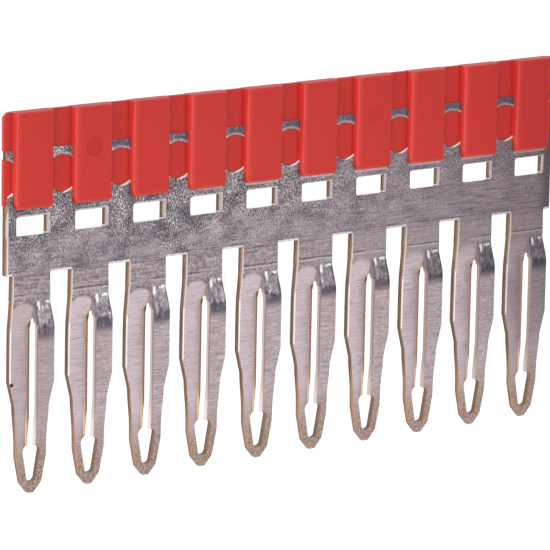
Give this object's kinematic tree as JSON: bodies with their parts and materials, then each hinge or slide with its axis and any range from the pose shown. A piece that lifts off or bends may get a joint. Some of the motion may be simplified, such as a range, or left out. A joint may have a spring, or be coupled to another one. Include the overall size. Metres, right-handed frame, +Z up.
{
  "type": "terminal block jumper bar",
  "caption": "Plug-in jumper bar: a stamped copper comb with two-legged spring pins and a ribbed red insulating cover moulded along its top edge.",
  "frame": {"origin": "midway along the bar, in the middle of the copper sheet, on the lower edge of the rail, the edge that meets the terminal blocks", "axes": "+X along the bar, -Y is the front in the picture, +Z up, from the pin tips towards the cover"},
  "size_m": [0.0418, 0.0012, 0.0239],
  "materials": {
    "tinned_copper": "matt tin plating with bare copper at the stamped edges",
    "red_plastic": "satin moulded thermoplastic"
  },
  "bodies": {
    "root": {"contact_comb": "tinned_copper", "insulating_cover": "red_plastic"}
  },
  "joints": []
}
